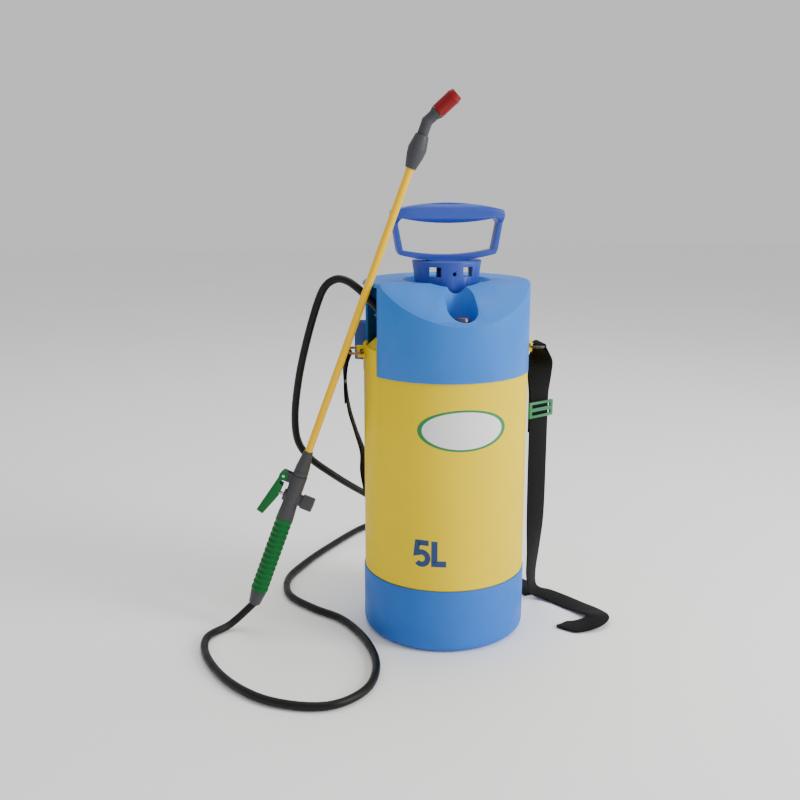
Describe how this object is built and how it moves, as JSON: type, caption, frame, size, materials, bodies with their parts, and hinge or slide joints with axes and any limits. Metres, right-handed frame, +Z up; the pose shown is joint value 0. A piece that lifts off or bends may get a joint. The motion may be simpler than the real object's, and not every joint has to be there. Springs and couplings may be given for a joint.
{
  "type": "compression shoulder sprayer",
  "caption": "Hand-pumped compression sprayer: round tank with cover and base cup, D-handle pump, shoulder strap, hose, trigger gun and lance with nozzle.",
  "frame": {"origin": "centre of the base cup on the floor", "axes": "+Z up along the tank axis; -Y out of the scooped front of the cover; the strap lugs lie on -X and +X"},
  "size_m": [0.4609, 0.4966, 0.5803],
  "materials": {
    "tank_yellow": "blow-moulded polyethylene, semi-gloss",
    "base_blue": "moulded polypropylene, satin",
    "cover_blue": "moulded polypropylene, satin",
    "cap_blue": "moulded polypropylene, satin",
    "handle_blue": "moulded polypropylene, satin",
    "seal_rubber": "moulded rubber",
    "natural_plastic": "natural polyethylene",
    "fitting_black": "glass-filled nylon",
    "fitting_grey": "moulded nylon",
    "knob_purple": "moulded acetal, gloss",
    "hose_black": "smooth PVC hose with a soft shine",
    "webbing_black": "woven polypropylene webbing",
    "ring_bronze": "lacquered steel wire",
    "ring_black": "black lacquered steel wire",
    "slider_green": "moulded acetal",
    "steel": "bright steel",
    "gun_grey": "glass-filled nylon, satin",
    "sleeve_green": "soft moulded grip",
    "lever_green": "moulded nylon",
    "lance_yellow": "pultruded glass-fibre tube, gloss",
    "nozzle_red": "moulded acetal"
  },
  "bodies": {
    "sprayer": {"tank": "tank_yellow", "base_cup": "base_blue", "cover": "cover_blue", "lance_clip": "cap_blue", "neck_gasket": "seal_rubber", "outlet_gasket": "seal_rubber", "relief_seal": "seal_rubber", "valve_seal": "seal_rubber", "lance_seal": "seal_rubber", "dip_tube": "natural_plastic", "dip_filter": "natural_plastic", "gun_filter": "natural_plastic", "outlet_fitting": "fitting_black", "outlet_nut": "fitting_black", "relief_body": "fitting_grey", "relief_cap": "fitting_grey", "hose": "hose_black", "strap_left": "webbing_black", "strap_floor": "webbing_black", "strap_right": "webbing_black", "ring_left": "ring_bronze", "ring_right": "ring_black", "strap_slider": "slider_green", "relief_spring": "steel", "lever_pin": "steel", "gun_body": "gun_grey", "gun_end_cap": "gun_grey", "valve_cap": "gun_grey", "lance_nut": "gun_grey", "union_nut": "gun_grey", "grip_sleeve": "sleeve_green", "lance_tube": "lance_yellow"},
    "pump": {"pump_cap": "cap_blue", "pump_barrel": "natural_plastic", "rod_guide": "fitting_grey", "guide_seal": "seal_rubber", "check_valve": "seal_rubber"},
    "plunger": {"piston_rod": "steel", "piston": "natural_plastic", "cup_seal": "seal_rubber", "rod_nut": "steel", "handle": "handle_blue", "handle_pin": "steel"},
    "trigger": {"lever": "lever_green"},
    "stem": {"valve_stem": "steel", "valve_spring": "steel"},
    "relief": {"relief_knob": "knob_purple"},
    "elbow_arm": {"elbow": "gun_grey", "elbow_seal": "seal_rubber", "nozzle_core": "steel", "nozzle_seal": "seal_rubber"},
    "nozzle_tip": {"nozzle": "nozzle_red"}
  },
  "joints": [
    {"name": "pump_unscrew", "type": "hinge", "parent": "sprayer", "child": "pump", "pos_m": [0, 0, 0.36], "axis": [0, 0, 1], "range_deg": [0, 360]},
    {"name": "pump_stroke", "type": "slide", "parent": "pump", "child": "plunger", "axis": [0, 0, 1], "range_m": [0, 0.2]},
    {"name": "trigger_squeeze", "type": "hinge", "parent": "sprayer", "child": "trigger", "pos_m": [-0.17766, 0.00114, 0.18186], "axis": [0.3206, 0.9472, 0], "range_deg": [-10, 0], "stiffness_Nm_per_rad": 0.2, "springref_deg": 20.05},
    {"name": "valve_lift", "type": "slide", "parent": "sprayer", "child": "stem", "axis": [0.8884, -0.3007, -0.3469], "range_m": [0, 0.0037]},
    {"name": "relief_pull", "type": "slide", "parent": "sprayer", "child": "relief", "axis": [0, 0, 1], "range_m": [0, 0.003], "stiffness_N_per_m": 400, "springref_m": -0.002, "deforming": ["relief_spring"]},
    {"name": "elbow_swivel", "type": "hinge", "parent": "sprayer", "child": "elbow_arm", "pos_m": [-0.03463, -0.04727, 0.54396], "axis": [0.3286, -0.1112, 0.9379], "range_deg": [-180, 180]},
    {"name": "nozzle_turn", "type": "hinge", "parent": "elbow_arm", "child": "nozzle_tip", "pos_m": [-0.03283, -0.04788, 0.54911], "axis": [0.7072, -0.2394, 0.6652], "range_deg": [0, 360]}
  ],
  "couplings": [
    {"joint": "valve_lift", "follows": "trigger_squeeze", "m_per_rad": -0.021199}
  ]
}
